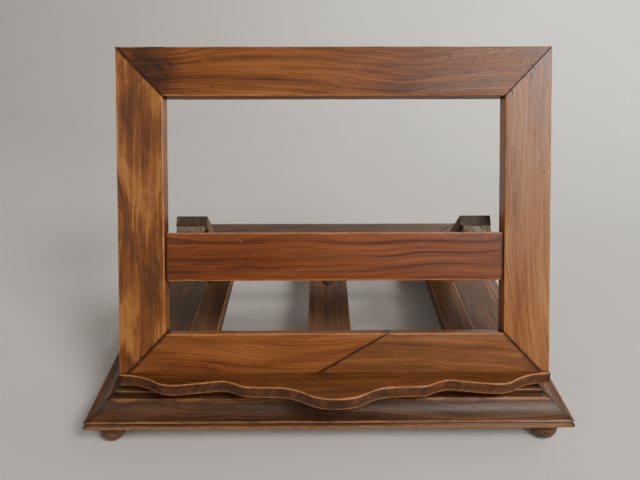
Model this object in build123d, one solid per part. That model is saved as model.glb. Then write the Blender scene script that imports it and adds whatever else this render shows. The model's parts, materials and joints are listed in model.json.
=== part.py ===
from build123d import *
from math import sin, cos, radians
import os

# Tilting book stand in walnut. A moulded, mitred base on ball feet carries a mitred
# picture-frame rest with a serpentine ledge. Two hinged legs, tied by a cross rail,
# prop the rest from behind and stand on notched racks in the base.
# Millimetres, +Z up, +Y to the back, front of the stand towards -Y.

# ---- Base
BASE_WIDTH = 500.0
BASE_DEPTH = 459.0
FOOT_HEIGHT = 28.0
BASE_HEIGHT = 28.0            # from the underside of the moulding to the flat top
BOARD_THICK = 14.0            # inner part of each rail, the centre stile
END_RAIL_WIDTH = 85.0         # front and rear rails, front to back
LEFT_RAIL_WIDTH = 85.0
RIGHT_RAIL_WIDTH = 73.0
MOULDING_FOOTPRINT = 45.0     # depth of the full-height part of each rail
RACK_WIDTH = 34.0
RACK_PROUD = 2.0              # racks stand this far above the flat top
STILE_X = 3.0
STILE_WIDTH = 52.0
FOOT_RADIUS = 13.5
FOOT_CENTRE = 12.0            # height of the ball's centre
FOOT_COLLAR = 10.5
FOOT_INSET = 21.0
DOWEL_RADIUS = 6.0
DOWEL_LENGTH = 12.0
NAIL_LENGTH = 11.0
NAIL_END_INSET = 9.0          # from each end of the board it holds
NAIL_SPREAD = 15.0            # to each side of the centre stile's middle
IRON_SCREW_Y = 242.0          # the big iron screw in the centre stile
IRON_SCREW_HEAD = 7.0
IRON_SCREW_HEAD_HEIGHT = 1.6

# ---- Racks
NOTCH_COUNT = 5
NOTCH_FIRST = 238.0           # front edge of the first notch, behind the base's front
NOTCH_PITCH = 22.0
NOTCH_RAMP = 12.0
NOTCH_LENGTH = 14.0
NOTCH_DEPTH = 6.0

# ---- Book rest
REST_TILT = 25.3              # degrees back from vertical, as propped
REST_X = 6.0                  # the rest is hung a little to the right of the base's centre
REST_Y = 33.3                 # top of the ledge on the rest's front face
REST_Z = 75.0
REST_WIDTH = 444.0
REST_BOTTOM = -10.0           # lower edge, measured up the slope from the ledge's top
REST_TOP = 333.0
REST_THICK = 19.5
RAIL_WIDTH = 50.0
STILE_FACE = 47.5
MIDDLE_LOW = 94.0
MIDDLE_HIGH = 144.0
MIDDLE_RECESS = 3.0
TENON_LENGTH = 12.0
TENON_THICK = 8.0
TENON_SHOULDER = 6.0
SCARF_LOW = -33.0             # the bottom rail is two pieces, joined by a long scarf
SCARF_HIGH = 55.0

# ---- Ledge
LEDGE_RISE = 10.0             # degrees above horizontal
LEDGE_THICK = 12.5
LEDGE_SCREWS = (-165.0, -50.0, 50.0, 165.0)
LEDGE_SCREW_V = -6.0

# ---- Strut
LEG_SPREAD = 152.0            # leg centres to each side of the rest's middle
LEG_WIDTH = 33.0
LEG_THICK = 13.0
LEG_LENGTH = 191.5
LEG_SLOPE = 47.6              # degrees below horizontal, as propped
LEG_FACE = 2.2                # from the hinge axis to the leg's lower face
LEG_END = 0.5                 # the leg's head clears its rail leaf when folded
LEG_TOE = 9.0                 # the bevel on the leg's lower end, along the leg
LEG_TOE_FACE = 3.0            # what the bevel leaves of the leg's end
STRUT_AXIS_V = 148.0
STRUT_AXIS_GAP = 3.6          # from the rest's back face to the strut's hinge axis
CROSS_LOW = 140.0
CROSS_HIGH = 172.0
CROSS_THICK = 9.0
CROSS_TENON = 14.0
CROSS_TENON_WIDTH = 20.0
CROSS_TENON_THICK = 6.0

# ---- Hinges and screws
PIN_RADIUS = 1.2
PIN_CLEARANCE = 0.05
LEAF_THICK = 1.2
FRONT_HINGE_SPREAD = 120.0
FRONT_HINGE_V = -7.25
FRONT_HINGE_GAP = 3.0
FRONT_KNUCKLE = 2.6
FRONT_LEAF_REACH = 23.0
FRONT_HINGE_LENGTH = 30.0
STRUT_KNUCKLE = 2.8
STRUT_LEAF_REACH = 26.0
STRUT_HINGE_LENGTH = 29.0
KNUCKLE_PLAY = 0.4
SCREW_HEAD = 2.4
SCREW_SHANK = 1.3
SCREW_HEAD_DEPTH = 1.1
LEAF_SCREW_X = 9.5
FRONT_BASE_SCREW = 9.0
FRONT_REST_SCREW = 12.0
STRUT_RAIL_SCREW = 11.0
STRUT_LEG_SCREW = 9.0
LEDGE_SCREW = 30.5
FASTENER_DEPTH = 9.0          # corrugated fasteners across the mitres
FASTENER_PROUD = 0.2

BASE_Z = FOOT_HEIGHT
TOP_Z = BASE_Z + BASE_HEIGHT
BOARD_Z = TOP_Z - BOARD_THICK
HALF = BASE_WIDTH / 2
tilt = radians(REST_TILT)
slope = radians(LEG_SLOPE)
rise = radians(LEDGE_RISE)

ABOVE = (Align.CENTER, Align.CENTER, Align.MIN)
BELOW = (Align.CENTER, Align.CENTER, Align.MAX)

UP_REST = Vector(0, sin(tilt), cos(tilt))
OUT_REST = Vector(0, -cos(tilt), sin(tilt))
ALONG_LEG = Vector(0, cos(slope), -sin(slope))
OVER_LEG = Vector(0, sin(slope), cos(slope))
X_AXIS = Vector(1, 0, 0)
REST_ORIGIN = Vector(REST_X, REST_Y, REST_Z)


def rest_point(u, v, w):
    """A point u across, v up the slope and w out of the front face of the rest."""
    return REST_ORIGIN + X_AXIS * u + UP_REST * v + OUT_REST * w


REST = Plane(REST_ORIGIN, x_dir=X_AXIS, z_dir=OUT_REST)
FRONT_AXIS = rest_point(-REST_X, FRONT_HINGE_V, -REST_THICK - FRONT_HINGE_GAP)
STRUT_AXIS = rest_point(-REST_X, STRUT_AXIS_V, -REST_THICK - STRUT_AXIS_GAP)
LEG_X = (REST_X - LEG_SPREAD, REST_X + LEG_SPREAD)
SIDES = ("left", "right")

parts = {}


def block(x0, x1, y0, y1, z0, z1):
    """A box between two corners."""
    corner = (Align.MIN, Align.MIN, Align.MIN)
    return Pos(x0, y0, z0) * Box(x1 - x0, y1 - y0, z1 - z0, align=corner)


def plate(points, low, high):
    """A flat polygon in XY, extruded from low to high."""
    return Pos(0, 0, low) * extrude(make_face(Polyline(*points, close=True)), amount=high - low)


def x_rod(radius, x0, x1):
    """A cylinder along X."""
    return Pos(x0, 0, 0) * Rot(0, 90, 0) * Cylinder(radius, x1 - x0, align=ABOVE)


def x_prism(points, x0, x1):
    """A polygon of (y, z) points, extruded along X from x0 to x1."""
    return Pos(x0, 0, 0) * extrude(Plane.YZ * make_face(Polyline(*points, close=True)), amount=x1 - x0)


def moulded_section():
    """Section of a base rail: x is the distance in from the outer edge, y is the height."""
    bead_low = (2.0, BASE_Z)
    bead_top = (2.0, BASE_Z + 6.0)
    arris = (0.8, BASE_Z + 9.2)
    cove_low = (2.0, BASE_Z + 9.6)
    cove_top = (19.0, BASE_Z + 21.5)
    nose = (22.5, BASE_Z + 23.4)
    step_low = (27.0, BASE_Z + 23.4)
    step_top = (27.0, TOP_Z - 0.6)
    flat = (28.0, TOP_Z)
    outline = ThreePointArc(bead_low, (0.0, BASE_Z + 3.0), bead_top)
    outline += Line(bead_top, (2.4, BASE_Z + 7.0))
    outline += Line((2.4, BASE_Z + 7.0), arris)
    outline += Line(arris, cove_low)
    outline += ThreePointArc(cove_low, (12.6, BASE_Z + 13.6), cove_top)
    outline += ThreePointArc(cove_top, (20.2, BASE_Z + 23.0), nose)
    outline += Line(nose, step_low)
    outline += Line(step_low, step_top)
    outline += ThreePointArc(step_top, (27.3, TOP_Z - 0.2), flat)
    outline += Line(flat, (END_RAIL_WIDTH, TOP_Z))
    outline += Line((END_RAIL_WIDTH, TOP_Z), (END_RAIL_WIDTH, BOARD_Z))
    outline += Line((END_RAIL_WIDTH, BOARD_Z), (MOULDING_FOOTPRINT, BOARD_Z))
    outline += Line((MOULDING_FOOTPRINT, BOARD_Z), (MOULDING_FOOTPRINT, BASE_Z))
    outline += Line((MOULDING_FOOTPRINT, BASE_Z), bead_low)
    return make_face(outline)


def moulded_bar(length):
    """A moulded rail along X, centred on X = 0, with its outer edge on Y = 0."""
    return Pos(-length / 2, 0, 0) * extrude(Plane.YZ * moulded_section(), amount=length)


def build_base():
    """Four mitred moulded rails, two racks, the centre stile, the feet and the fixings."""
    left_in = -HALF + LEFT_RAIL_WIDTH
    right_in = HALF - RIGHT_RAIL_WIDTH
    back_in = BASE_DEPTH - END_RAIL_WIDTH
    front_turn = RIGHT_RAIL_WIDTH
    back_turn = BASE_DEPTH - RIGHT_RAIL_WIDTH
    end_plan = [(-HALF, 0), (HALF, 0), (right_in, front_turn), (right_in, END_RAIL_WIDTH)]
    end_plan.append((left_in, END_RAIL_WIDTH))
    left_plan = [(-HALF, 0), (left_in, END_RAIL_WIDTH), (left_in, back_in), (-HALF, BASE_DEPTH)]
    right_plan = [(HALF, 0), (right_in, front_turn), (right_in, back_turn), (HALF, BASE_DEPTH)]
    rear_plan = [(x, BASE_DEPTH - y) for x, y in end_plan]
    at_back = Pos(0, BASE_DEPTH, 0) * Rot(0, 0, 180)
    at_left = Pos(-HALF, BASE_DEPTH / 2, 0) * Rot(0, 0, -90)
    at_right = Pos(HALF, BASE_DEPTH / 2, 0) * Rot(0, 0, 90)
    bars = {
        "base_front_rail": (moulded_bar(BASE_WIDTH), end_plan),
        "base_rear_rail": (at_back * moulded_bar(BASE_WIDTH), rear_plan),
        "base_left_rail": (at_left * moulded_bar(BASE_DEPTH), left_plan),
        "base_right_rail": (at_right * moulded_bar(BASE_DEPTH), right_plan),
    }
    dowel_bores = [
        Pos(x, y, BASE_Z) * Cylinder(DOWEL_RADIUS, DOWEL_LENGTH, align=ABOVE)
        for x in (-HALF + FOOT_INSET, HALF - FOOT_INSET)
        for y in (FOOT_INSET, BASE_DEPTH - FOOT_INSET)
    ]
    for name, (bar, plan) in bars.items():
        rail = bar & plate(plan, BASE_Z - 1, TOP_Z + 1)
        for bore in dowel_bores:
            rail -= bore
        parts[name] = rail

    racks = {"left_rack": left_in, "right_rack": right_in - RACK_WIDTH}
    top = TOP_Z + RACK_PROUD
    for name, x in racks.items():
        rack = block(x, x + RACK_WIDTH, END_RAIL_WIDTH, back_in, BOARD_Z, top)
        for i in range(NOTCH_COUNT):
            start = NOTCH_FIRST + i * NOTCH_PITCH
            end = start + NOTCH_LENGTH
            deep = (start + NOTCH_RAMP, top - NOTCH_DEPTH)
            tooth = [(start, top), deep, (end, top), (end, top + 1), (start, top + 1)]
            rack -= x_prism(tooth, x, x + RACK_WIDTH)
        parts[name] = rack
    stile_x0 = STILE_X - STILE_WIDTH / 2
    parts["centre_stile"] = block(stile_x0, stile_x0 + STILE_WIDTH, END_RAIL_WIDTH, back_in, BOARD_Z, TOP_Z)

    places = {"front": FOOT_INSET, "rear": BASE_DEPTH - FOOT_INSET}
    for end, y in places.items():
        for side, x in zip(SIDES, (-HALF + FOOT_INSET, HALF - FOOT_INSET)):
            parts[f"{end}_{side}_foot"] = Pos(x, y, 0) * ball_foot()

    nails = []
    for y in (END_RAIL_WIDTH + NAIL_END_INSET, back_in - NAIL_END_INSET):
        for x in (left_in + RACK_WIDTH / 2, right_in - RACK_WIDTH / 2):
            nails.append(Pos(x, y, top) * nail())
        for x in (STILE_X - NAIL_SPREAD, STILE_X + NAIL_SPREAD):
            nails.append(Pos(x, y, TOP_Z) * nail())
    fasten("base_nails", nails, ("left_rack", "right_rack", "centre_stile"))
    iron = [Pos(STILE_X, IRON_SCREW_Y, TOP_Z) * round_head_screw()]
    fasten("centre_screw", iron, ("centre_stile",))


def ball_foot():
    """A turned ball foot with its dowel, standing on Z = 0."""
    flat = (FOOT_RADIUS**2 - FOOT_CENTRE**2) ** 0.5
    neck = (flat, 2 * FOOT_CENTRE)
    collar_low = (FOOT_COLLAR, FOOT_HEIGHT - 2.5)
    collar_high = (FOOT_COLLAR, FOOT_HEIGHT)
    dowel_top = FOOT_HEIGHT + DOWEL_LENGTH
    outline = Line((0, 0), (flat, 0))
    outline += ThreePointArc((flat, 0), (FOOT_RADIUS, FOOT_CENTRE), neck)
    outline += Line(neck, collar_low)
    outline += ThreePointArc(collar_low, (FOOT_COLLAR + 0.9, FOOT_HEIGHT - 1.25), collar_high)
    outline += Line(collar_high, (DOWEL_RADIUS, FOOT_HEIGHT))
    outline += Line((DOWEL_RADIUS, FOOT_HEIGHT), (DOWEL_RADIUS, dowel_top))
    outline += Line((DOWEL_RADIUS, dowel_top), (0, dowel_top))
    outline += Line((0, dowel_top), (0, 0))
    return revolve(Plane.XZ * make_face(outline), Axis.Z)


def nail():
    """A cut nail with a small flat head, driven down from Z = 0."""
    head_thick = 0.8
    head = Cylinder(2.0, head_thick, align=BELOW)
    shank = Cylinder(0.9, NAIL_LENGTH - head_thick, align=BELOW)
    return head + Pos(0, 0, -head_thick) * shank


def round_head_screw():
    """The big round-headed iron screw in the centre stile, standing proud of Z = 0."""
    head = Cylinder(IRON_SCREW_HEAD, IRON_SCREW_HEAD_HEIGHT, align=ABOVE)
    head = chamfer(head.edges().sort_by(Axis.Z)[-1], IRON_SCREW_HEAD_HEIGHT / 2)
    shank = Cylinder(2.4, 11.0, align=BELOW)
    slot = Box(2 * IRON_SCREW_HEAD + 2, 1.4, IRON_SCREW_HEAD_HEIGHT)
    slot = Pos(0, 0, IRON_SCREW_HEAD_HEIGHT) * Rot(0, 0, 35) * slot
    return head + shank - slot


def wood_screw(length):
    """A slotted countersunk screw: its head is flush with Z = 0 and it points down."""
    head = Cone(SCREW_SHANK, SCREW_HEAD, SCREW_HEAD_DEPTH, align=ABOVE)
    shank = Cylinder(SCREW_SHANK, length, align=BELOW)
    slot = Box(6, 0.6, 0.9)
    return Pos(0, 0, -SCREW_HEAD_DEPTH) * (head + shank) - slot


def fasten(name, fixings, wood):
    """Stores a group of fixings as one node, and bores their seats in the pieces they join."""
    for piece in wood:
        for fixing in fixings:
            parts[piece] = parts[piece] - fixing
    parts[name] = Compound([solid for fixing in fixings for solid in fixing.solids()])


def build_rest():
    """The mitred frame, its middle rail, the ledge, and their fixings."""
    half = REST_WIDTH / 2
    inner = half - STILE_FACE
    low_in = REST_BOTTOM + RAIL_WIDTH
    high_in = REST_TOP - RAIL_WIDTH
    scarf_low = (SCARF_LOW, REST_BOTTOM)
    scarf_high = (SCARF_HIGH, low_in)
    plans = {
        "top_rail": [(-half, REST_TOP), (-inner, high_in), (inner, high_in), (half, REST_TOP)],
        "left_stile": [(-half, REST_BOTTOM), (-inner, low_in), (-inner, high_in), (-half, REST_TOP)],
        "right_stile": [(half, REST_BOTTOM), (inner, low_in), (inner, high_in), (half, REST_TOP)],
        "bottom_rail_left": [(-half, REST_BOTTOM), scarf_low, scarf_high, (-inner, low_in)],
        "bottom_rail_right": [scarf_low, (half, REST_BOTTOM), (inner, low_in), scarf_high],
    }
    local = {name: plate(points, -REST_THICK, 0) for name, points in plans.items()}
    middle = block(-inner, inner, MIDDLE_LOW, MIDDLE_HIGH, -REST_THICK, -MIDDLE_RECESS)
    v0 = MIDDLE_LOW + TENON_SHOULDER
    v1 = MIDDLE_HIGH - TENON_SHOULDER
    w0 = -(REST_THICK + TENON_THICK) / 2
    for side, start in (("left_stile", -inner - TENON_LENGTH), ("right_stile", inner)):
        tenon = block(start, start + TENON_LENGTH, v0, v1, w0, w0 + TENON_THICK)
        local[side] -= tenon
        middle += tenon
    local["middle_rail"] = middle
    for name, shape in local.items():
        parts[name] = REST.location * shape

    build_ledge(half)

    screws = []
    for u in LEDGE_SCREWS:
        seat = Pos(u, LEDGE_SCREW_V, -REST_THICK) * Rot(180, 0, 0)
        screws.append(REST.location * seat * wood_screw(LEDGE_SCREW))
    fasten("ledge_screws", screws, ("bottom_rail_left", "bottom_rail_right", "ledge"))

    # Corrugated fasteners are driven across three of the four mitres. Each mitre is given from
    # its outer to its inner corner, with the shares of its length at which the fasteners lie.
    mitres = (
        ((half, REST_TOP), (inner, high_in), (0.42, 0.90)),
        ((-half, REST_BOTTOM), (-inner, low_in), (0.50, 0.86)),
        ((half, REST_BOTTOM), (inner, low_in), (0.52, 0.88)),
    )
    strips = []
    for (u0, v0), (u1, v1), shares in mitres:
        turn = -45 if (u1 - u0) * (v1 - v0) > 0 else 45
        for share in shares:
            u = u0 + (u1 - u0) * share
            v = v0 + (v1 - v0) * share
            seat = Pos(u, v, FASTENER_PROUD) * Rot(0, 0, turn)
            strips.append(REST.location * seat * corrugated_strip())
    frame = ("top_rail", "left_stile", "right_stile", "bottom_rail_left", "bottom_rail_right")
    fasten("mitre_fasteners", strips, frame)


def corrugated_strip():
    """A wavy steel strip standing on edge, with its top edge on Z = 0."""
    step = 2.0
    wave = 0.8
    thick = 0.5
    crest = [(i * step - 2 * step, wave if i % 2 else -wave) for i in range(5)]
    outline = crest + [(x, y + thick) for x, y in reversed(crest)]
    return plate(outline, -FASTENER_DEPTH, 0)


def build_ledge(half):
    """The serpentine ledge: its front edge waves out to a lobe in the middle."""
    wing = [
        (half, 3.5), (203, 6.5), (188, 13.0), (174, 22.0), (160, 24.0),
        (138, 21.0), (114, 17.0), (102, 21.0), (90, 27.5), (68, 28.8),
        (48, 30.6), (34, 37.0), (20, 46.0),
    ]
    front = [(-u, e) for u, e in wing] + [(0, 49.5)] + [(u, e) for u, e in reversed(wing)]
    back = -14.0
    outline = Spline(*front)
    outline += Polyline(front[-1], (half, back), (-half, back), front[0])
    ledge_plane = Plane(REST_ORIGIN, x_dir=X_AXIS, z_dir=Vector(0, -sin(rise), -cos(rise)))
    board = ledge_plane.location * extrude(make_face(outline), amount=LEDGE_THICK)
    behind = REST.location * block(-half - 5, half + 5, -60, 60, -60, 0)
    parts["ledge"] = board - behind


def leaf(length, reach, gap, knuckle, owns_middle):
    """A hinge leaf: the pin lies on the X axis, the leaf runs to +Y, the wood is gap below the pin."""
    flap = block(-length / 2, length / 2, 0.0, reach, -gap, -gap + LEAF_THICK)
    third = length / 6
    middle = (-third, third)
    ends = ((-length / 2, -third), (third, length / 2))
    mine = (middle,) if owns_middle else ends
    theirs = ends if owns_middle else (middle,)
    for x0, x1 in theirs:
        flap -= x_rod(knuckle + KNUCKLE_PLAY, x0 - 0.1, x1 + 0.1)
    inset = KNUCKLE_PLAY / 2 if owns_middle else 0.0
    for x0, x1 in mine:
        flap += x_rod(knuckle, x0 + inset, x1 - inset)
    return flap - x_rod(PIN_RADIUS + PIN_CLEARANCE, -length, length)


def leaf_screws(place, reach, gap, length):
    """Four countersunk screws through a leaf, in the leaf's own frame."""
    rows = (reach * 0.42, reach * 0.80)
    return [
        place * Pos(x, y, -gap + LEAF_THICK) * Rot(0, 0, 25 * x) * wood_screw(length)
        for x in (-LEAF_SCREW_X, LEAF_SCREW_X)
        for y in rows
    ]


def hinge_frame(x, axis, wood_side, towards_minus_x):
    """The frame of a leaf on an axis: its -Z points into the wood."""
    origin = Vector(x, axis.Y, axis.Z)
    x_dir = Vector(-1, 0, 0) if towards_minus_x else X_AXIS
    return Plane(origin, x_dir=x_dir, z_dir=wood_side * -1).location


def build_hinges():
    """Two butt hinges along the foot of the rest, and two at the head of the strut."""
    base_gap = FRONT_AXIS.Z - TOP_Z
    base_screws = []
    rest_screws = []
    rail_screws = []
    leg_screws = []
    for side, x in zip(SIDES, (REST_X - FRONT_HINGE_SPREAD, REST_X + FRONT_HINGE_SPREAD)):
        on_base = hinge_frame(x, FRONT_AXIS, Vector(0, 0, -1), False)
        on_rest = hinge_frame(x, FRONT_AXIS, OUT_REST, True)
        size = (FRONT_HINGE_LENGTH, FRONT_LEAF_REACH)
        base_leaf = leaf(*size, base_gap, FRONT_KNUCKLE, owns_middle=False)
        rest_leaf = leaf(*size, FRONT_HINGE_GAP, FRONT_KNUCKLE, owns_middle=True)
        parts[f"front_hinge_{side}_base_leaf"] = on_base * base_leaf
        parts[f"front_hinge_{side}_rest_leaf"] = on_rest * rest_leaf
        parts[f"front_hinge_{side}_pin"] = on_base * hinge_pin(FRONT_HINGE_LENGTH)
        base_screws += leaf_screws(on_base, FRONT_LEAF_REACH, base_gap, FRONT_BASE_SCREW)
        rest_screws += leaf_screws(on_rest, FRONT_LEAF_REACH, FRONT_HINGE_GAP, FRONT_REST_SCREW)
    for side, x in zip(SIDES, LEG_X):
        on_rail = hinge_frame(x, STRUT_AXIS, OUT_REST, False)
        on_leg = hinge_frame(x, STRUT_AXIS, OVER_LEG, True)
        size = (STRUT_HINGE_LENGTH, STRUT_LEAF_REACH)
        rail_leaf = leaf(*size, STRUT_AXIS_GAP, STRUT_KNUCKLE, owns_middle=False)
        leg_leaf = leaf(*size, LEG_FACE, STRUT_KNUCKLE, owns_middle=True)
        parts[f"strut_hinge_{side}_rail_leaf"] = on_rail * rail_leaf
        parts[f"strut_hinge_{side}_leg_leaf"] = on_leg * leg_leaf
        parts[f"strut_hinge_{side}_pin"] = on_rail * hinge_pin(STRUT_HINGE_LENGTH)
        rail_screws += leaf_screws(on_rail, STRUT_LEAF_REACH, STRUT_AXIS_GAP, STRUT_RAIL_SCREW)
        leg_screws += leaf_screws(on_leg, STRUT_LEAF_REACH, LEG_FACE, STRUT_LEG_SCREW)
    front_base = tuple(f"front_hinge_{side}_base_leaf" for side in SIDES)
    front_rest = tuple(f"front_hinge_{side}_rest_leaf" for side in SIDES)
    strut_rail = tuple(f"strut_hinge_{side}_rail_leaf" for side in SIDES)
    strut_leg = tuple(f"strut_hinge_{side}_leg_leaf" for side in SIDES)
    fasten("front_hinge_base_screws", base_screws, front_base + ("base_front_rail",))
    fasten("front_hinge_rest_screws", rest_screws, front_rest + ("bottom_rail_left", "bottom_rail_right"))
    fasten("strut_hinge_rail_screws", rail_screws, strut_rail + ("middle_rail",))
    fasten("strut_hinge_leg_screws", leg_screws, strut_leg + ("left_leg", "right_leg"))


def hinge_pin(length):
    """A plain hinge pin, as long as the hinge."""
    return x_rod(PIN_RADIUS, -length / 2, length / 2)


def build_strut():
    """Two legs with bevelled feet, tied by a tenoned cross rail."""
    top = LEG_FACE + LEG_THICK
    for side, x in zip(SIDES, LEG_X):
        leg = block(-LEG_WIDTH / 2, LEG_WIDTH / 2, LEG_END, LEG_LENGTH, LEG_FACE, top)
        leg -= x_rod(STRUT_KNUCKLE + KNUCKLE_PLAY, -LEG_WIDTH, LEG_WIDTH)
        end = LEG_LENGTH + 1
        toe = [(LEG_LENGTH - LEG_TOE, top + 1), (end, top + 1), (end, LEG_FACE + LEG_TOE_FACE)]
        leg -= x_prism(toe, -LEG_WIDTH, LEG_WIDTH)
        inward = 1 if side == "left" else -1
        face = inward * LEG_WIDTH / 2
        leg -= cross_tenon(min(face, face - inward * CROSS_TENON), CROSS_TENON)
        parts[f"{side}_leg"] = strut_frame(x) * leg
    span = LEG_SPREAD - LEG_WIDTH / 2
    middle = LEG_FACE + LEG_THICK / 2
    z0 = middle - CROSS_THICK / 2
    rail = block(-span, span, CROSS_LOW, CROSS_HIGH, z0, z0 + CROSS_THICK)
    rail += cross_tenon(-span - CROSS_TENON, CROSS_TENON)
    rail += cross_tenon(span, CROSS_TENON)
    parts["strut_cross_rail"] = strut_frame(REST_X) * rail


def strut_frame(x):
    """The strut's frame at x: its origin is on the hinge axis and its +Y runs down the legs."""
    origin = Vector(x, STRUT_AXIS.Y, STRUT_AXIS.Z)
    return Plane(origin, x_dir=X_AXIS, z_dir=OVER_LEG).location


def cross_tenon(start, length):
    """A tenon of the cross rail, or the mortise for it, from x = start."""
    across = (CROSS_LOW + CROSS_HIGH) / 2
    middle = LEG_FACE + LEG_THICK / 2
    y0 = across - CROSS_TENON_WIDTH / 2
    z0 = middle - CROSS_TENON_THICK / 2
    return block(start, start + length, y0, y0 + CROSS_TENON_WIDTH, z0, z0 + CROSS_TENON_THICK)


build_base()
build_rest()
build_strut()
build_hinges()

# The origin is under the middle of the whole stand.
whole = Compound([solid for shape in parts.values() for solid in shape.solids()]).bounding_box()
centre = Pos(0, -(whole.min.Y + whole.max.Y) / 2, 0)

os.makedirs("parts", exist_ok=True)
for name, shape in parts.items():
    solids = [centre * solid for solid in shape.solids()]
    export_step(solids[0] if len(solids) == 1 else Compound(solids), f"parts/{name}.step")

print("shift in Y", centre.position.Y)
for label, axis in (("rest hinge", FRONT_AXIS), ("strut hinge", STRUT_AXIS)):
    print(label, "y", axis.Y + centre.position.Y, "z", axis.Z)
print("box", whole.min, whole.max)
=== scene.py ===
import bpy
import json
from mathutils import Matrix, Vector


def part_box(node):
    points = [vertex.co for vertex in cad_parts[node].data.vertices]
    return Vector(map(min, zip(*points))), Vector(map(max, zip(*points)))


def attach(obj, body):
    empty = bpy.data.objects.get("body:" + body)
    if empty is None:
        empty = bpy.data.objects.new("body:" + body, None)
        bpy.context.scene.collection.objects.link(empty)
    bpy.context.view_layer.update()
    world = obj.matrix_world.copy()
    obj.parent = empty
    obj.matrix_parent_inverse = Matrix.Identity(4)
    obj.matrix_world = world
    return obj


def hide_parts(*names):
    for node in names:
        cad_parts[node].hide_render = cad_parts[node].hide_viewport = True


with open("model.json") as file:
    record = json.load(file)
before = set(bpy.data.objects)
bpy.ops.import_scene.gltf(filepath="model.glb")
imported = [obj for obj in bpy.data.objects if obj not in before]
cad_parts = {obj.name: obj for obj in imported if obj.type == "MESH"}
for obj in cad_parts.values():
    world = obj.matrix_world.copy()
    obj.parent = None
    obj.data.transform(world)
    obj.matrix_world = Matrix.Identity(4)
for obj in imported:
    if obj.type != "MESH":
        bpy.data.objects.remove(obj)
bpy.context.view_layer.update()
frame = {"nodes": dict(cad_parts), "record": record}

import json
from math import cos, pi, radians, sin
import bpy
from mathutils import Matrix, Vector, noise

# Looks of the tilting book stand. Wooden members are rebuilt as rings of points along
# each piece, with hand-worn arrises; turned feet, hinges and screws keep their CAD shape.

MM = 0.001
base_low, base_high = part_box("base_front_rail")
FRONT_Y = base_low[1]
HALF_BASE = base_high[0]
BACK_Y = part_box("base_rear_rail")[1][1]
DEPTH = BACK_Y - FRONT_Y
UNDER_Z = base_low[2]
TOP_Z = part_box("centre_stile")[1][2]
BOARD_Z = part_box("centre_stile")[0][2]
RAIL_DEPTH = base_high[1] - FRONT_Y

REST_TILT = radians(25.3)
REST_THICK = 19.5 * MM
REST_LOW = -10 * MM
REST_HIGH = 333 * MM
REST_HALF = 222 * MM
REST_RAIL = 50 * MM
REST_INNER = REST_HALF - 47.5 * MM
LEG_SLOPE = radians(47.6)
LEDGE_RISE = radians(10)

X = Vector((1, 0, 0))
Y = Vector((0, 1, 0))
Z = Vector((0, 0, 1))
UP = Vector((0, sin(REST_TILT), cos(REST_TILT)))
OUT = X.cross(UP)
rest_middle = (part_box("ledge")[0][0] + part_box("ledge")[1][0]) / 2
REST_ORIGIN = Vector((rest_middle, FRONT_Y + 33.3 * MM, 75 * MM))
strut_joint = [j for j in frame["record"]["behaviour"]["joints"] if j["name"] == "strut_swing"][0]
STRUT_AXIS = Vector(strut_joint["pos_m"])

ARC_STEPS = 4
ARC_END_WEAR = 0.45
LONGEST_ARC = 0.45            # of the side it eats into
JOINT_DIRT_REACH = 2.5 * MM   # dirt gathers this far from the end of a member


def axes(origin, along, across):
    """The matrix that takes (along, across, out) to the stand's frame."""
    out = along.cross(across)
    turn = Matrix((along, across, out)).transposed()
    return Matrix.Translation(origin) @ turn.to_4x4()


def wobble(point, size, seed):
    """Smooth noise from 0 to 1 with features of the given size."""
    shift = Vector((seed * 7.31, seed * 3.77, seed * 1.93))
    return 0.5 + 0.5 * noise.noise(Vector(point) / size + shift)


def ring(corners, radii, splits):
    """A closed section: corners rounded by arcs, sides split. Gives (p, q, arris) for each point,
    where arris is 1 on a rounded corner, ARC_END_WEAR at the ends of its arc and 0 on a side."""
    points = []
    count = len(corners)
    for i, corner in enumerate(corners):
        here = Vector(corner)
        before = Vector(corners[i - 1])
        after = Vector(corners[(i + 1) % count])
        to_before = before - here
        to_after = after - here
        reach = min(radii[i], to_before.length * LONGEST_ARC, to_after.length * LONGEST_ARC)
        start = here + to_before.normalized() * reach
        stop = here + to_after.normalized() * reach
        for step in range(ARC_STEPS + 1):
            t = step / ARC_STEPS
            bend = start * (1 - t) ** 2 + here * (2 * t * (1 - t)) + stop * t**2
            points.append((bend.x, bend.y, 1.0 if 0 < step < ARC_STEPS else ARC_END_WEAR))
        next_reach = min(radii[(i + 1) % count], to_after.length * LONGEST_ARC)
        finish = after - to_after.normalized() * next_reach
        for step in range(1, splits[i]):
            t = step / splits[i]
            side = stop * (1 - t) + finish * t
            points.append((side.x, side.y, 0.0))
    return points


def no_soot(a, p, q):
    """The usual member: no dark stain anywhere."""
    return 0.0


def bent_round(a, p, knots):
    """The grain's own p at a point: it swells round each knot (a, p, radius)."""
    for knot_a, knot_p, radius in knots:
        away = Vector((a - knot_a, (p - knot_p) * 2.2)).length / radius
        p += (p - knot_p + radius * 0.15) * 1.6 * 2.718 ** (-away * away)
    return p


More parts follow.
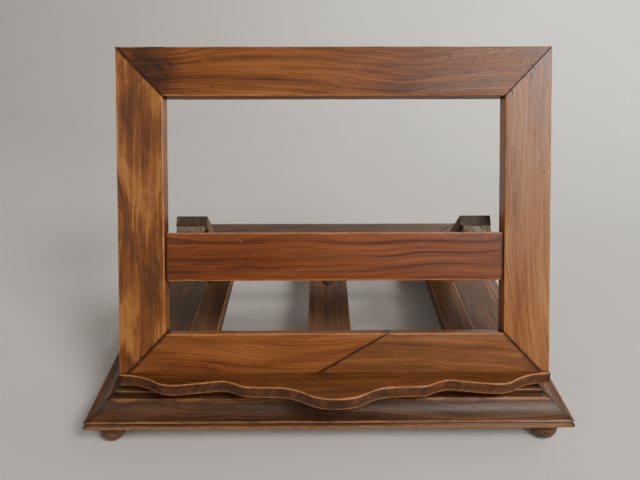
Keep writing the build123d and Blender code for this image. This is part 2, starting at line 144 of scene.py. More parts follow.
def bar(name, cad_node, body, slot, material, place, section, ends, stations, seed, wear=1.0,
        gap=0.3 * MM, soot=no_soot, knots=()):
    """A wooden member: section(share) gives its ring, ends(p) its two end positions along the grain.
    Over the last two gaps of length its ends are drawn in a little, which leaves a groove at a
    joint."""
    verts = []
    worn = []
    grimy = []
    grain = []
    shares = [0.0, 0.0] + [i / stations for i in range(1, stations)] + [1.0, 1.0]
    rings = []
    for index, share in enumerate(shares):
        outline = section(share)
        first_or_last = index in (0, len(shares) - 1)
        middle_p = sum(point[0] for point in outline) / len(outline)
        middle_q = sum(point[1] for point in outline) / len(outline)
        row = []
        for p, q, arris in outline:
            start, stop = ends(p)
            length = stop - start
            edge = gap / max(length, gap)
            margin = edge * (0.05 if first_or_last else 2)
            local_share = min(max(share, margin), 1 - margin)
            a = start + length * local_share
            if first_or_last:
                p += (middle_p - p) * 0.004
                q += (middle_q - q) * 0.06
            row.append(len(verts))
            verts.append(place @ Vector((a, p, q)))
            near_end = min(a - start, stop - a)
            rub = wobble((a, p * 2, q * 2), 22 * MM, seed + 5)
            worn.append(min(1.0, max(0.0, arris) * wear * (0.45 + 0.95 * rub)))
            joint_dirt = max(0.0, 1 - near_end / JOINT_DIRT_REACH) * 1.3
            grimy.append(min(1.0, joint_dirt + max(0.0, -arris) * 0.75 + soot(a, p, q)))
            # each member is cut from its own part of the wood
            grain.append((a + seed * 0.37, bent_round(a, p, knots) + seed * 0.053, q + seed * 0.029))
        rings.append(row)
    faces = []
    size = len(rings[0])
    for one, two in zip(rings, rings[1:]):
        for i in range(size):
            j = (i + 1) % size
            faces.append((one[i], one[j], two[j], two[i]))
    faces.append(tuple(reversed(rings[0])))
    faces.append(tuple(rings[-1]))
    return wooden(name, cad_node, body, material, verts, faces, worn, grimy, grain)


def wooden(name, cad_node, body, material, verts, faces, worn, grimy, grain):
    """Makes the mesh object with its wear, grime and grain attributes, in place of a CAD node."""
    mesh = bpy.data.meshes.new(name)
    mesh.from_pydata([tuple(v) for v in verts], [], faces)
    mesh.validate()
    mesh.update()
    for label, values in (("wear", worn), ("grime", grimy)):
        attribute = mesh.attributes.new(label, "FLOAT", "POINT")
        attribute.data.foreach_set("value", values)
    attribute = mesh.attributes.new("grain", "FLOAT_VECTOR", "POINT")
    attribute.data.foreach_set("vector", [c for v in grain for c in v])
    mesh.polygons.foreach_set("use_smooth", [True] * len(mesh.polygons))
    mesh.set_sharp_from_angle(angle=radians(38))
    piece = bpy.data.objects.new(name, mesh)
    bpy.context.scene.collection.objects.link(piece)
    piece.data.materials.append(material)
    if signed_volume(mesh) < 0:
        mesh.flip_normals()
    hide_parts(cad_node)
    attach(piece, body)
    return piece


def signed_volume(mesh):
    """Positive when the faces point outwards."""
    total = 0.0
    for face in mesh.polygons:
        corners = [mesh.vertices[i].co for i in face.vertices]
        for one, two in zip(corners[1:], corners[2:]):
            total += corners[0].dot(one.cross(two))
    return total


def plain_section(p0, p1, q0, q1, seed, radius=1.4 * MM, hollow=0.25 * MM, length=1.0):
    """A rectangular section whose arrises vary in wear along the piece, and whose faces are
    slightly uneven."""
    def section(share):
        a = share * length
        radii = []
        for i in range(4):
            rubbed = wobble((a, i, 0), 28 * MM if i % 2 else 41 * MM, seed + i)
            radii.append(radius * (0.35 + 1.3 * rubbed))
        corners = [(p0, q0), (p1, q0), (p1, q1), (p0, q1)]
        outline = ring(corners, radii, (10, 4, 10, 4))
        uneven = []
        for p, q, arris in outline:
            dip = hollow * wobble((a, p, q), 60 * MM, seed + 9)
            ripple = 0.12 * MM * wobble((a, p * 3, q * 3), 9 * MM, seed + 3)
            q_in = dip + ripple if q > (q0 + q1) / 2 else -dip - ripple
            p_in = ripple if p > (p0 + p1) / 2 else -ripple
            uneven.append((p - p_in * 0.8, q - q_in, arris))
        return uneven
    return section


# ---- Materials

def shader_tree(name):
    """A new node material, its tree and its shader."""
    material = bpy.data.materials.new(name)
    material.use_nodes = True
    tree = material.node_tree
    return material, tree, tree.nodes["Principled BSDF"]


def node(tree, kind, **values):
    """Adds a node. A value whose name is a property sets it, any other sets the input of that name."""
    made = tree.nodes.new("ShaderNode" + kind)
    for key, value in values.items():
        if hasattr(made, key):
            setattr(made, key, value)
        else:
            made.inputs[key.replace("_", " ")].default_value = value
    return made


def maths(tree, operation, one, two=0.5):
    """A Math node on two values or sockets, clamped to 0 to 1."""
    made = node(tree, "Math", operation=operation, use_clamp=True)
    for index, value in enumerate((one, two)):
        if isinstance(value, (int, float)):
            made.inputs[index].default_value = value
        else:
            tree.links.new(value, made.inputs[index])
    return made.outputs[0]


def spread(tree, value, low, high, to_low=0.0, to_high=1.0):
    """Maps low..high to to_low..to_high, clamped."""
    made = node(tree, "MapRange")
    tree.links.new(value, made.inputs["Value"])
    limits = {"From Min": low, "From Max": high, "To Min": to_low, "To Max": to_high}
    for label, number in limits.items():
        made.inputs[label].default_value = number
    return made.outputs["Result"]


def stretched(tree, vector, scale, offset=(0, 0, 0), turn=(0, 0, 0)):
    """The vector scaled, turned and offset."""
    made = node(tree, "Mapping")
    tree.links.new(vector, made.inputs["Vector"])
    made.inputs["Scale"].default_value = scale
    made.inputs["Location"].default_value = offset
    made.inputs["Rotation"].default_value = turn
    return made.outputs["Vector"]


def cloud(tree, vector, scale=1.0, detail=3.0, roughness=0.55, distortion=0.0):
    """The value of a Noise texture."""
    made = node(tree, "TexNoise")
    tree.links.new(vector, made.inputs["Vector"])
    made.inputs["Scale"].default_value = scale
    made.inputs["Detail"].default_value = detail
    made.inputs["Roughness"].default_value = roughness
    made.inputs["Distortion"].default_value = distortion
    return made.outputs["Fac"]


def ramp(tree, value, stops):
    """A colour ramp with (position, (r, g, b)) stops."""
    made = node(tree, "ValToRGB")
    elements = made.color_ramp.elements
    elements[0].position, elements[0].color = stops[0][0], (*stops[0][1], 1)
    elements[1].position, elements[1].color = stops[-1][0], (*stops[-1][1], 1)
    for position, colour in stops[1:-1]:
        elements.new(position).color = (*colour, 1)
    tree.links.new(value, made.inputs["Fac"])
    return made.outputs["Color"]


def blended(tree, share, one, two, mode="MIX"):
    """Two colours mixed by a share; each may be a socket or an (r, g, b)."""
    made = node(tree, "Mix", data_type="RGBA", blend_type=mode)
    sockets = {"share": made.inputs[0], "one": made.inputs[6], "two": made.inputs[7]}
    for label, value in (("share", share), ("one", one), ("two", two)):
        if isinstance(value, (int, float)):
            sockets[label].default_value = value
        elif isinstance(value, tuple):
            sockets[label].default_value = (*value, 1)
        else:
            tree.links.new(value, sockets[label])
    return made.outputs[2]


def tinted(colour, factor):
    """A colour made lighter or darker."""
    return tuple(min(1.0, channel * factor) for channel in colour)


def walnut(name, dark, mid, light, worn, lines=0.5, pith=(0.09, -0.05), rings=1.0, gloss=0.42,
           turned=False, blotch=0.5, dusty=0.0, patch_scale=(5.0, 26.0, 26.0)):
    """Old waxed walnut: fine streaks, a few dark growth lines, blotches, rubbed arrises, specks
    and worm holes. A turned piece has no wear, grime or grain of its own."""
    material, tree, shader = shader_tree(name)
    if turned:
        source = node(tree, "TexCoord").outputs["Object"]
    else:
        source = node(tree, "Attribute", attribute_name="grain").outputs["Vector"]
    # slow wander of the grain, added across the piece
    wander = cloud(tree, stretched(tree, source, (5.0, 14.0, 14.0)), 1.0, 2.0, 0.45)
    push = node(tree, "VectorMath", operation="MULTIPLY_ADD")
    combined = node(tree, "CombineXYZ")
    tree.links.new(wander, combined.inputs["Y"])
    tree.links.new(wander, combined.inputs["Z"])
    tree.links.new(combined.outputs[0], push.inputs[0])
    push.inputs[1].default_value = (0.0, 0.045, 0.020)
    tree.links.new(source, push.inputs[2])
    flowing = push.outputs[0]

    def growth(scale, distortion):
        wave = node(tree, "TexWave", wave_type="RINGS", rings_direction="X", wave_profile="SIN")
        centred = stretched(tree, flowing, (0.06, 1.0, 1.0), (0, pith[0], pith[1]), (0, 0, 0.02))
        tree.links.new(centred, wave.inputs["Vector"])
        wave.inputs["Scale"].default_value = scale
        wave.inputs["Distortion"].default_value = distortion
        wave.inputs["Detail"].default_value = 2.0
        wave.inputs["Detail Scale"].default_value = 1.5
        return wave.outputs["Fac"]

    coarse = growth(16.0 * rings, 2.5)
    fine = growth(95.0 * rings, 1.2)
    fibres = cloud(tree, stretched(tree, flowing, (16.0, 900.0, 900.0)), 1.0, 4.0, 0.65)
    streaks = cloud(tree, stretched(tree, flowing, (4.0, 230.0, 230.0)), 1.0, 4.0, 0.65)
    pore_noise = cloud(tree, stretched(tree, flowing, (110.0, 1900.0, 1900.0)), 1.0, 2.0, 0.5)
    pores = spread(tree, pore_noise, 0.60, 0.72)
    patches = cloud(tree, stretched(tree, source, patch_scale), 1.0, 4.0, 0.6, 0.4)

    tone = maths(tree, "MULTIPLY", spread(tree, patches, 0.30, 0.70), blotch)
    tone = maths(tree, "ADD", tone, maths(tree, "MULTIPLY", spread(tree, streaks, 0.3, 0.7), 0.42))
    tone = maths(tree, "ADD", tone, maths(tree, "MULTIPLY", fine, 0.12))
    tone = maths(tree, "ADD", tone, maths(tree, "MULTIPLY", spread(tree, fibres, 0.3, 0.7), 0.16))
    colour = ramp(tree, spread(tree, tone, 0.10, 0.60 + blotch * 0.7), [
        (0.0, tinted(dark, 0.8)), (0.30, dark), (0.60, mid), (0.88, light), (1.0, tinted(light, 1.15)),
    ])
    # dark growth lines, where the mask lets them show
    mask = spread(tree, cloud(tree, stretched(tree, source, (4.0, 9.0, 9.0)), 1.0, 2.0), 0.40, 0.58)
    line = maths(tree, "MULTIPLY", spread(tree, coarse, 0.80, 0.985), mask)
    colour = blended(tree, maths(tree, "MULTIPLY", line, lines), colour, tinted(dark, 0.45))
    colour = blended(tree, maths(tree, "MULTIPLY", pores, 0.45), colour, tinted(dark, 0.45))

    if not turned:
        rub = node(tree, "Attribute", attribute_name="wear").outputs["Fac"]
        grime = node(tree, "Attribute", attribute_name="grime").outputs["Fac"]
        nibbles = cloud(tree, stretched(tree, source, (130.0, 400.0, 400.0)), 1.0, 4.0, 0.7)
        nibbled = spread(tree, nibbles, 0.28, 0.52)
        bare = maths(tree, "MULTIPLY", spread(tree, rub, 0.40, 0.80), nibbled)
        colour = blended(tree, maths(tree, "MULTIPLY", bare, 0.80), colour, worn)
        specked = cloud(tree, stretched(tree, source, (70.0, 110.0, 110.0)), 1.0, 4.0, 0.65)
        dirt = spread(tree, specked, 0.3, 0.7, 0.55, 1.0)
        soiled = maths(tree, "MULTIPLY", spread(tree, grime, 0.15, 0.9), dirt)
        colour = blended(tree, soiled, colour, tinted(dark, 0.28))
    if dusty:
        settled = cloud(tree, stretched(tree, source, (25.0, 60.0, 60.0)), 1.0, 5.0, 0.7)
        dust = spread(tree, settled, 0.35, 0.75)
        colour = blended(tree, maths(tree, "MULTIPLY", dust, dusty), colour, (0.17, 0.12, 0.08))

    specks = node(tree, "TexVoronoi", feature="F1")
    tree.links.new(stretched(tree, source, (90.0, 90.0, 90.0)), specks.inputs["Vector"])
    specks.inputs["Scale"].default_value = 1.0
    pale = maths(tree, "LESS_THAN", specks.outputs["Distance"], 0.065)
    colour = blended(tree, maths(tree, "MULTIPLY", pale, 0.28), colour, tinted(worn, 1.4))
    holes = node(tree, "TexVoronoi", feature="F1")
    tree.links.new(stretched(tree, source, (26.0, 26.0, 26.0), (0.7, 0.3, 0.9)), holes.inputs["Vector"])
    holes.inputs["Scale"].default_value = 1.0
    worm = maths(tree, "LESS_THAN", holes.outputs["Distance"], 0.030)
    colour = blended(tree, maths(tree, "MULTIPLY", worm, 0.9), colour, (0.012, 0.007, 0.004))
    # fine scratches, a few at a slant to the grain
    slanted = stretched(tree, source, (50.0, 2300.0, 50.0), (0, 0, 0), (0.2, 0.1, 0.5))
    scratches = spread(tree, cloud(tree, slanted, 1.0, 1.0), 0.71, 0.77)
    colour = blended(tree, maths(tree, "MULTIPLY", scratches, 0.30), colour, worn)
    tree.links.new(colour, shader.inputs["Base Color"])

    matt = spread(tree, patches, 0.25, 0.75, gloss - 0.06, gloss + 0.12)
    rough = maths(tree, "ADD", matt, maths(tree, "MULTIPLY", pores, 0.2))
    tree.links.new(rough, shader.inputs["Roughness"])
    shader.inputs["Specular IOR Level"].default_value = 0.32
    shader.inputs["Coat Weight"].default_value = 0.06
    shader.inputs["Coat Roughness"].default_value = 0.30
    raised = maths(tree, "MULTIPLY", fibres, 0.5)
    relief = maths(tree, "SUBTRACT", raised, maths(tree, "MULTIPLY", pores, 0.5))
    relief = maths(tree, "ADD", relief, maths(tree, "MULTIPLY", patches, 0.4))
    relief = maths(tree, "SUBTRACT", relief, worm)
    bump = node(tree, "Bump")
    bump.inputs["Strength"].default_value = 0.35
    bump.inputs["Distance"].default_value = 0.0005
    tree.links.new(relief, bump.inputs["Height"])
    tree.links.new(bump.outputs["Normal"], shader.inputs["Normal"])
    return material


def old_metal(name, clean, rust, metallic, rough, rusted):
    """Old iron or steel: clean metal, rust in patches, fine pitting."""
    material, tree, shader = shader_tree(name)
    source = node(tree, "TexCoord").outputs["Object"]
    patches = cloud(tree, stretched(tree, source, (260.0, 260.0, 260.0)), 1.0, 5.0, 0.65)
    pits = cloud(tree, stretched(tree, source, (2200.0, 2200.0, 2200.0)), 1.0, 2.0, 0.5)
    share = spread(tree, patches, 0.62 - rusted * 0.35, 0.78 - rusted * 0.30)
    metal = ramp(tree, pits, [(0.35, tinted(clean, 0.75)), (0.65, clean)])
    tree.links.new(blended(tree, share, metal, rust), shader.inputs["Base Color"])
    tree.links.new(spread(tree, share, 0.0, 1.0, rough, 0.85), shader.inputs["Roughness"])
    tree.links.new(spread(tree, share, 0.0, 1.0, metallic, 0.1), shader.inputs["Metallic"])
    bump = node(tree, "Bump")
    bump.inputs["Strength"].default_value = 0.4
    bump.inputs["Distance"].default_value = 0.0002
    pitted = maths(tree, "MULTIPLY", pits, 0.5)
    relief = maths(tree, "ADD", pitted, maths(tree, "MULTIPLY", share, 0.5))
    tree.links.new(relief, bump.inputs["Height"])
    tree.links.new(bump.outputs["Normal"], shader.inputs["Normal"])
    return material


WORN = (0.50, 0.20, 0.062)
WORN_PALE = (0.40, 0.20, 0.085)
WORN_BASE = (0.36, 0.145, 0.046)
# each wood: its dark, middle and light tone, then its rubbed arrises
rest_wood = walnut("top_rail_walnut", (0.080, 0.023, 0.005), (0.175, 0.050, 0.008),
                   (0.255, 0.083, 0.015), WORN, lines=0.30)
left_wood = walnut("left_stile_walnut", (0.095, 0.030, 0.009), (0.19, 0.062, 0.014),
                   (0.37, 0.150, 0.036), WORN, lines=0.35, pith=(0.05, -0.02), rings=1.2,
                   gloss=0.42, blotch=0.8, patch_scale=(13.0, 30.0, 20.0))
right_wood = walnut("right_stile_walnut", (0.16, 0.050, 0.014), (0.27, 0.098, 0.028),
                    (0.36, 0.15, 0.050), WORN, lines=0.3, pith=(0.10, 0.04), rings=1.5, gloss=0.36)
middle_wood = walnut("middle_rail_walnut", (0.085, 0.020, 0.005), (0.17, 0.042, 0.008),
                     (0.23, 0.064, 0.013), WORN, lines=0.75, pith=(0.03, -0.03), rings=1.3,
                     gloss=0.40, blotch=0.3)
bottom_wood = walnut("bottom_rail_walnut", (0.095, 0.026, 0.006), (0.185, 0.052, 0.010),
                     (0.26, 0.086, 0.018), WORN, lines=0.25)
repair_wood = walnut("scarf_walnut", (0.080, 0.027, 0.007), (0.165, 0.055, 0.012),
                     (0.24, 0.088, 0.022), WORN, lines=0.45, pith=(0.02, 0.06), rings=1.8)
ledge_wood = walnut("ledge_walnut", (0.055, 0.018, 0.006), (0.120, 0.040, 0.011),
                    (0.18, 0.065, 0.019), WORN, lines=0.4)
base_wood = walnut("base_walnut", (0.040, 0.016, 0.007), (0.085, 0.034, 0.013),
                   (0.145, 0.064, 0.026), WORN_BASE, lines=0.4, gloss=0.40, dusty=0.12)
rack_wood = walnut("rack_walnut", (0.060, 0.024, 0.009), (0.105, 0.043, 0.017),
                   (0.15, 0.066, 0.027), WORN_PALE, lines=0.3, gloss=0.6, dusty=0.25)
strut_wood = walnut("strut_wood", (0.050, 0.029, 0.016), (0.10, 0.058, 0.032),
                    (0.16, 0.098, 0.055), WORN_PALE, lines=0.4, gloss=0.62, dusty=0.35)
foot_wood = walnut("foot_walnut", (0.055, 0.024, 0.010), (0.11, 0.050, 0.022),
                   (0.17, 0.085, 0.040), WORN_PALE, lines=0.4, turned=True, gloss=0.45)
hinge_steel = old_metal("hinge_steel", (0.24, 0.20, 0.145), (0.10, 0.058, 0.032), 0.6, 0.6, 0.5)
iron = old_metal("dark_iron", (0.055, 0.050, 0.046), (0.10, 0.045, 0.022), 0.7, 0.55, 0.45)

# ---- Book rest

low_inner = REST_LOW + REST_RAIL
high_inner = REST_HIGH - REST_RAIL


def mitre(p_outer, p_inner, a_outer, a_inner):
    """The end of a member cut at a slant: a_outer at p_outer, a_inner at p_inner."""
    def end(p):
        return a_outer + (a_inner - a_outer) * (p - p_outer) / (p_inner - p_outer)
    return end


def rest_rail(name, cad_node, material, p0, p1, q0, q1, start, stop, seed, stations=70, **more):
    """A rail of the rest: its length runs across, p runs up the slope and q out of the face."""
    place = axes(REST_ORIGIN, X, UP)
    section = plain_section(p0, p1, q0, q1, seed, length=2 * REST_HALF)
    return bar(name, cad_node, "rest", "rest_walnut", material, place, section,
               lambda p: (start(p), stop(p)), stations, seed, **more)


def corner_stain(a, p, q):
    """The dark stain beside the top left mitre."""
    reach = Vector((a + 188 * MM, (p - 308 * MM) * 1.2)).length / (28 * MM)
    ragged = 0.4 + 1.2 * wobble((a, p, q), 7 * MM, 26)
    return 1.3 * ragged * 2.718 ** (-reach * reach)


rest_rail("top_rail_wood", "top_rail", rest_wood, high_inner, REST_HIGH, -REST_THICK, 0,
          mitre(REST_HIGH, high_inner, -REST_HALF, -REST_INNER),
          mitre(REST_HIGH, high_inner, REST_HALF, REST_INNER), 1, 110,
          gap=0.35 * MM, soot=corner_stain)
# the bottom rail is two pieces, joined by a long slanting scarf
SCARF_LOW = -33 * MM
SCARF_HIGH = 55 * MM
scarf = mitre(REST_LOW, low_inner, SCARF_LOW, SCARF_HIGH)
rest_rail("bottom_rail_left_wood", "bottom_rail_left", bottom_wood, REST_LOW, low_inner,
          -REST_THICK, 0, mitre(REST_LOW, low_inner, -REST_HALF, -REST_INNER), scarf, 2, 40)
rest_rail("bottom_rail_right_wood", "bottom_rail_right", repair_wood, REST_LOW, low_inner,
          -REST_THICK, 0, scarf, mitre(REST_LOW, low_inner, REST_HALF, REST_INNER), 3, 36)
MIDDLE_LOW = 94 * MM
MIDDLE_HIGH = 144 * MM
MIDDLE_RECESS = 3 * MM
rest_rail("middle_rail_wood", "middle_rail", middle_wood, MIDDLE_LOW, MIDDLE_HIGH,
          -REST_THICK, -MIDDLE_RECESS, lambda p: -REST_INNER, lambda p: REST_INNER, 4)


def rest_stile(name, cad_node, material, side, seed, knots=()):
    """A stile: its length runs up the slope, and p runs towards -X."""
    place = axes(REST_ORIGIN, UP, -X)
    outer = -side * REST_HALF
    inner = -side * REST_INNER
    section = plain_section(min(outer, inner), max(outer, inner), -REST_THICK, 0, seed,
                            length=REST_HIGH - REST_LOW)
    low = mitre(outer, inner, REST_LOW, low_inner)
    high = mitre(outer, inner, REST_HIGH, high_inner)
    return bar(name, cad_node, "rest", "rest_walnut", material, place, section,
               lambda p: (low(p), high(p)), 70, seed, knots=knots)


rest_stile("left_stile_wood", "left_stile", left_wood, -1, 5,
           knots=((158 * MM, 212 * MM, 22 * MM),))
rest_stile("right_stile_wood", "right_stile", right_wood, 1, 6)

# ---- Ledge: rings across the stand, each as deep as the serpentine front is there

LEDGE_THICK = 12.5 * MM
# half of the serpentine front: (distance from the middle, depth from the rest's face), in mm
LEDGE_WING = [
    (222, 3.5), (203, 6.5), (188, 13.0), (174, 22.0), (160, 24.0), (138, 21.0), (114, 17.0),
    (102, 21.0), (90, 27.5), (68, 28.8), (48, 30.6), (34, 37.0), (20, 46.0), (0, 49.5),
]


def ledge_depth(u):
    """Depth of the ledge at u mm from its middle, by a Catmull-Rom curve through the wing's points."""
    points = sorted(LEDGE_WING)
    points = [(-points[1][0], points[1][1])] + points + [(points[-1][0] + 15, points[-1][1] - 2)]
    u = min(abs(u), 221.99)
    index = max(i for i in range(1, len(points) - 2) if points[i][0] <= u)
    before, here, after, beyond = points[index - 1:index + 3]
    span = after[0] - here[0]
    t = (u - here[0]) / span
    slope_here = (after[1] - before[1]) / (after[0] - before[0]) * span
    slope_after = (beyond[1] - here[1]) / (beyond[0] - here[0]) * span
    return (here[1] * (2 * t**3 - 3 * t**2 + 1) + slope_here * (t**3 - 2 * t**2 + t)
            + after[1] * (3 * t**2 - 2 * t**3) + slope_after * (t**3 - t**2))


ledge_out = Vector((0, -cos(LEDGE_RISE), sin(LEDGE_RISE)))
# the grain frame runs to -X so that its third axis points up
ledge_place = axes(REST_ORIGIN, -X, ledge_out)
back_slant = OUT.dot(X.cross(-ledge_out)) / OUT.dot(ledge_out)


def ledge_section(share):
    """The ledge's section: its nibbled front edge follows the serpentine outline."""
    a = (2 * share - 1) * REST_HALF
    depth = ledge_depth(a / MM) * MM - 0.3 * MM
    nibble = 0.35 * MM * wobble((a, 0, 0), 5 * MM, 21) + 0.25 * MM * wobble((a, 1, 0), 2.2 * MM, 22)
    depth -= nibble
    rounded = [(0.5 + 1.6 * wobble((a, i, 0), 17 * MM, 30 + i)) * MM for i in range(2)]
    radii = [0.4 * MM] + rounded + [0.3 * MM]
    low_back = LEDGE_THICK * back_slant + 0.05 * MM
    corners = [(low_back, -LEDGE_THICK), (depth - 0.5 * MM, -LEDGE_THICK), (depth, 0), (0.05 * MM, 0)]
    outline = []
    for p, q, arris in ring(corners, radii, (8, 5, 8, 2)):
        dip = 0.3 * MM * wobble((a, p, q), 30 * MM, 24)
        outline.append((p, q - dip if q > -LEDGE_THICK / 2 else q, arris))
    return outline


def ledge_soot(a, p, q):
    """The sawn front edge is grey with dirt, in patches that follow the chisel."""
    near_front = ledge_depth(a / MM) * MM - p < 1.6 * MM
    front = near_front and -LEDGE_THICK + 1.5 * MM < q < -1.3 * MM
    chisel = wobble((a + q * 0.5, 0, 0), 3.0 * MM, 25)
    return 0.35 + 0.85 * max(0.0, chisel - 0.2) if front else 0.0


bar("ledge_wood", "ledge", "rest", "ledge_walnut", ledge_wood, ledge_place, ledge_section,
    lambda p: (-REST_HALF, REST_HALF), 300, 7, wear=1.2, soot=ledge_soot)

# ---- Strut

leg_along = Vector((0, cos(LEG_SLOPE), -sin(LEG_SLOPE)))
LEG_FACE = 2.2 * MM
LEG_THICK = 13 * MM
LEG_LENGTH = 191.5 * MM
LEG_HALF = 16.5 * MM
LEG_HEAD = 0.5 * MM
LEG_TOE = 9 * MM
LEG_SPREAD = 152 * MM
LEG_STATIONS = 60
# the head of each leg is eased underneath to clear the hinge's knuckles
KNUCKLE_RELIEF = 1.0 * MM


def leg(name, cad_node, seed):
    """A leg: rings down its length, with a bevel behind the foot."""
    low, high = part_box(cad_node)
    middle = (low[0] + high[0]) / 2
    place = axes(Vector((middle, STRUT_AXIS.y, STRUT_AXIS.z)), leg_along, -X)

    def section(share):
        top = LEG_FACE + LEG_THICK
        bevel = max(0.0, share * LEG_LENGTH - (LEG_LENGTH - LEG_TOE))
        under = LEG_FACE + KNUCKLE_RELIEF * max(0.0, 1 - share * LEG_STATIONS)
        square = plain_section(-LEG_HALF, LEG_HALF, under, top - bevel, seed, 0.9 * MM,
                               length=LEG_LENGTH)
        return square(share)

    return bar(name, cad_node, "strut", "strut_wood", strut_wood, place, section,
               lambda p: (LEG_HEAD, LEG_LENGTH), LEG_STATIONS, seed)


leg("left_leg_wood", "left_leg", 11)
leg("right_leg_wood", "right_leg", 12)

CROSS_HALF = LEG_SPREAD - LEG_HALF
CROSS_LOW = 140 * MM
CROSS_HIGH = 172 * MM
CROSS_THICK = 9 * MM
cross_middle = LEG_FACE + LEG_THICK / 2
cross_place = axes(Vector((rest_middle, STRUT_AXIS.y, STRUT_AXIS.z)), X, leg_along)
cross_section = plain_section(CROSS_LOW, CROSS_HIGH, cross_middle - CROSS_THICK / 2,
                              cross_middle + CROSS_THICK / 2, 13, length=2 * CROSS_HALF)
bar("strut_cross_rail_wood", "strut_cross_rail", "strut", "strut_wood", strut_wood, cross_place,
    cross_section, lambda p: (-CROSS_HALF, CROSS_HALF), 40, 13)

# ---- Base: the moulding's points are (distance in from the outer edge, height above the
# underside, how worn), in mm; a wear below 0 marks a groove that holds dirt

MOULDING = [
    (2.0, 0.0, 0.2), (0.7, 0.9, 0.4), (0.05, 2.0, 0.9), (0.0, 3.0, 1.0), (0.05, 4.0, 0.9),
    (0.7, 5.2, 0.4), (2.0, 6.0, 0.0), (2.4, 6.6, -1.0), (2.3, 7.2, -1.0), (1.6, 8.1, 0.0),
    (0.9, 9.0, 1.0), (1.2, 9.5, 1.0), (2.2, 9.7, 0.5), (5.2, 10.4, 0.0), (8.4, 11.6, 0.0),
    (11.5, 13.2, 0.0), (14.2, 15.2, 0.0), (16.8, 18.0, 0.0), (18.6, 20.6, 0.3), (19.3, 21.9, 0.3),
    (20.3, 22.9, 0.5), (21.4, 23.25, 0.4), (22.6, 23.35, 0.2), (24.6, 23.3, 0.0),
    (26.4, 23.3, -0.8), (27.05, 23.6, -1.0), (27.05, 25.5, -0.4), (27.1, 27.2, 0.2),
    (27.5, 27.8, 0.55), (28.3, 28.0, 0.3),
]
FLAT_START = 28.3 * MM
FOOTPRINT = 45 * MM
FLAT_POINTS = 8


def moulded_section(width, seed, length):
    """The base rail's section; width is how far the board runs in from the outer edge."""
    def section(share):
        a = share * length
        outline = []
        for d, h, arris in MOULDING:
            rub = 0.35 * MM * wobble((a, h, 0), 24 * MM, seed + d) * max(arris, 0.0)
            outline.append((d * MM + rub, UNDER_Z + h * MM - rub, arris))
        inner = []
        for step in range(1, FLAT_POINTS + 1):
            d = FLAT_START + (width - FLAT_START - 1 * MM) * step / FLAT_POINTS
            dip = 0.25 * MM * wobble((a, d, 0), 45 * MM, seed)
            inner.append((d, TOP_Z - dip, 0.0))
        soft = 0.9 * MM
        inner.append((width - soft * 0.3, TOP_Z - soft * 0.3, 1.0))
        inner.append((width, TOP_Z - soft, 0.8))
        inner.append((width, BOARD_Z + 0.3 * MM, 0.0))
        inner.append((width - 0.3 * MM, BOARD_Z, 0.2))
        inner.append((FOOTPRINT, BOARD_Z, 0.0))
        inner.append((FOOTPRINT, UNDER_Z + 0.4 * MM, 0.0))
        inner.append((FOOTPRINT - 0.4 * MM, UNDER_Z, 0.2))
        inner.append((20 * MM, UNDER_Z, 0.0))
        return outline + inner
    return section


LEFT_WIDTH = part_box("base_left_rail")[1][0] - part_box("base_left_rail")[0][0]
RIGHT_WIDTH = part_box("base_right_rail")[1][0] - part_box("base_right_rail")[0][0]


def base_rail(name, cad_node, origin, along, width, length, cut_start, cut_stop, seed):
    """A mitred moulded rail: along runs round the base, and p runs inwards. The mitre at each
    end is as long as its cut, and the rest of the end is square."""
    inward = Z.cross(along)
    place = axes(origin, along, inward)
    section = moulded_section(width, seed, length)
    stations = int(length / STATION_PITCH)
    return bar(name, cad_node, "base", "base_walnut", base_wood, place, section,
               lambda p: (min(p, cut_start), length - min(p, cut_stop)), stations, seed,
               wear=1.5, gap=0.6 * MM)


STATION_PITCH = 8 * MM
NO_LIMIT = 1.0                # the mitre runs over the whole end
WIDTH = 2 * HALF_BASE
front_left = Vector((-HALF_BASE, FRONT_Y, 0))
front_right = Vector((HALF_BASE, FRONT_Y, 0))
rear_right = Vector((HALF_BASE, BACK_Y, 0))
rear_left = Vector((-HALF_BASE, BACK_Y, 0))
base_rail("base_front_rail_wood", "base_front_rail", front_left, X, RAIL_DEPTH, WIDTH,
          LEFT_WIDTH, RIGHT_WIDTH, 14)
base_rail("base_right_rail_wood", "base_right_rail", front_right, Y, RIGHT_WIDTH, DEPTH,
          NO_LIMIT, NO_LIMIT, 15)
base_rail("base_rear_rail_wood", "base_rear_rail", rear_right, -X, RAIL_DEPTH, WIDTH,
          RIGHT_WIDTH, LEFT_WIDTH, 16)
base_rail("base_left_rail_wood", "base_left_rail", rear_left, -Y, LEFT_WIDTH, DEPTH,
          NO_LIMIT, NO_LIMIT, 17)

NOTCHES = [(238 + 22 * i) * MM for i in range(5)]
NOTCH_DEPTH = 6 * MM
NOTCH_RAMP = 12 * MM
NOTCH_LENGTH = 14 * MM
RACK_STATIONS = 145


def rack(name, cad_node, seed):
    """A notched rack: the top drops down a ramp and back up a steep face at each notch."""
    low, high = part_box(cad_node)
    length = high[1] - low[1]
    middle = (low[0] + high[0]) / 2
    half = (high[0] - low[0]) / 2
    place = axes(Vector((middle, low[1], 0)), Y, -X)
    start_d = low[1] - FRONT_Y

    def section(share):
        d = start_d + share * length
        top = high[2]
        for notch in NOTCHES:
            into = d - notch
            if 0 < into <= NOTCH_RAMP:
                top -= NOTCH_DEPTH * into / NOTCH_RAMP
            elif NOTCH_RAMP < into < NOTCH_LENGTH:
                top -= NOTCH_DEPTH * (NOTCH_LENGTH - into) / (NOTCH_LENGTH - NOTCH_RAMP)
        square = plain_section(-half, half, low[2], top, seed, 1.3 * MM, length=length)
        return square(share)

    return bar(name, cad_node, "base", "inner_walnut", rack_wood, place, section,
               lambda p: (0, length), RACK_STATIONS, seed, wear=1.2)


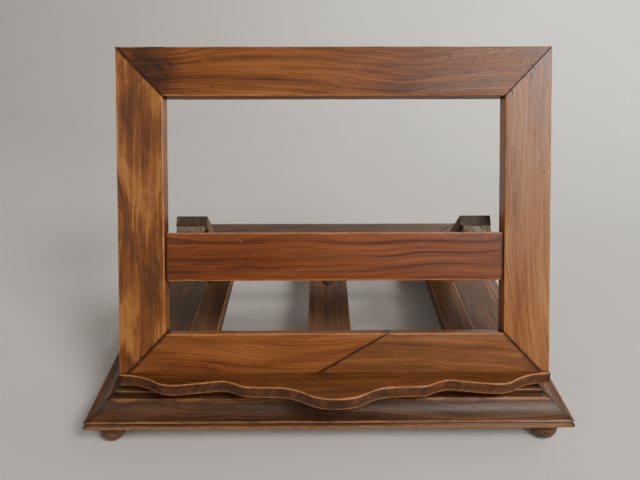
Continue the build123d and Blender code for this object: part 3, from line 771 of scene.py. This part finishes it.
rack("left_rack_wood", "left_rack", 18)
rack("right_rack_wood", "right_rack", 19)

stile_low, stile_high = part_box("centre_stile")
stile_half = (stile_high[0] - stile_low[0]) / 2
stile_middle = (stile_low[0] + stile_high[0]) / 2
stile_length = stile_high[1] - stile_low[1]
stile_place = axes(Vector((stile_middle, stile_low[1], 0)), Y, -X)
bar("centre_stile_wood", "centre_stile", "base", "inner_walnut", rack_wood, stile_place,
    plain_section(-stile_half, stile_half, stile_low[2], stile_high[2], 20, length=stile_length),
    lambda p: (0, stile_length), 50, 20)

# ---- Carried-over nodes: feet, hinges and fixings keep their CAD shape

CARRIED_BEVEL = 0.15 * MM
for name, cad in frame["nodes"].items():
    if name.endswith("_foot"):
        material = foot_wood
    elif "screw" in name or "nails" in name or "fasteners" in name:
        material = iron
    elif "hinge" in name:
        material = hinge_steel
    else:
        continue
    cad.data.materials.clear()
    cad.data.materials.append(material)
    softened = cad.modifiers.new("softened", "BEVEL")
    softened.width = CARRIED_BEVEL
    softened.segments = 2
    softened.limit_method = "ANGLE"
    softened.angle_limit = radians(35)

# ---- Studio

def plain_surface(name, colour, roughness):
    """A plain, faintly mottled material."""
    material, tree, shader = shader_tree(name)
    source = node(tree, "TexCoord").outputs["Object"]
    mottled = cloud(tree, stretched(tree, source, (3.0, 3.0, 3.0)), 1.0, 3.0)
    shade = ramp(tree, mottled, [(0.3, tinted(colour, 0.97)), (0.7, tinted(colour, 1.03))])
    tree.links.new(shade, shader.inputs["Base Color"])
    shader.inputs["Roughness"].default_value = roughness
    return material


def sweep():
    """A pale floor that curves up into a backdrop."""
    bend_start = 1.0
    radius = 0.8
    steps = 12
    half_width = 4.0
    profile = [(-2.5, 0.0), (bend_start, 0.0)]
    for i in range(1, steps + 1):
        angle = i / steps * pi / 2
        profile.append((bend_start + radius * sin(angle), radius * (1 - cos(angle))))
    profile.append((bend_start + radius, 3.5))
    verts = []
    faces = []
    for y, z in profile:
        verts += [(-half_width, y, z), (half_width, y, z)]
    for i in range(len(profile) - 1):
        faces.append((2 * i, 2 * i + 1, 2 * i + 3, 2 * i + 2))
    mesh = bpy.data.meshes.new("sweep")
    mesh.from_pydata(verts, [], faces)
    mesh.polygons.foreach_set("use_smooth", [True] * len(mesh.polygons))
    floor = bpy.data.objects.new("sweep", mesh)
    floor.data.materials.append(plain_surface("pale_paper", (0.64, 0.615, 0.575), 0.9))
    bpy.context.scene.collection.objects.link(floor)


sweep()


def area_light(name, place, target, size, power, colour):
    """A soft area light aimed at a point."""
    light = bpy.data.lights.new(name, "AREA")
    light.shape = "RECTANGLE"
    light.size, light.size_y = size
    light.energy = power
    light.color = colour
    lamp = bpy.data.objects.new(name, light)
    lamp.location = place
    lamp.rotation_euler = (Vector(target) - Vector(place)).to_track_quat("-Z", "Y").to_euler()
    bpy.context.scene.collection.objects.link(lamp)


WARM = (1.0, 0.98, 0.95)
area_light("key", (1.15, -1.40, 1.85), (0.05, 0.0, 0.15), (0.8, 0.7), 42, WARM)
area_light("sheen", (1.05, -1.75, 1.25), (0.2, 0.0, 0.25), (0.5, 0.6), 9, WARM)
area_light("left", (-1.5, -1.5, 1.3), (0.0, 0.0, 0.1), (1.2, 1.0), 8, (1.0, 0.99, 0.98))
area_light("backdrop", (1.2, 0.7, 1.4), (1.0, 1.8, 0.8), (1.4, 0.7), 27, WARM)
area_light("right", (2.2, 0.2, 1.2), (1.1, 0.3, 0.0), (0.8, 0.8), 11, WARM)

world = bpy.data.worlds.new("studio")
world.use_nodes = True
sky = world.node_tree.nodes["Background"]
sky.inputs["Color"].default_value = (0.80, 0.79, 0.77, 1)
sky.inputs["Strength"].default_value = 0.17
bpy.context.scene.world = world

# ---- Camera, a little to the left of the middle and looking down on the stand

camera_data = bpy.data.cameras.new("camera")
camera_data.lens = 30.94
camera_data.sensor_width = 36.0
camera = bpy.data.objects.new("camera", camera_data)
camera.location = (-12.7 * MM, FRONT_Y - 410 * MM, 454.5 * MM)
camera.rotation_euler = (radians(90 - 27.06), 0, radians(-0.42))
bpy.context.scene.collection.objects.link(camera)
bpy.context.scene.camera = camera
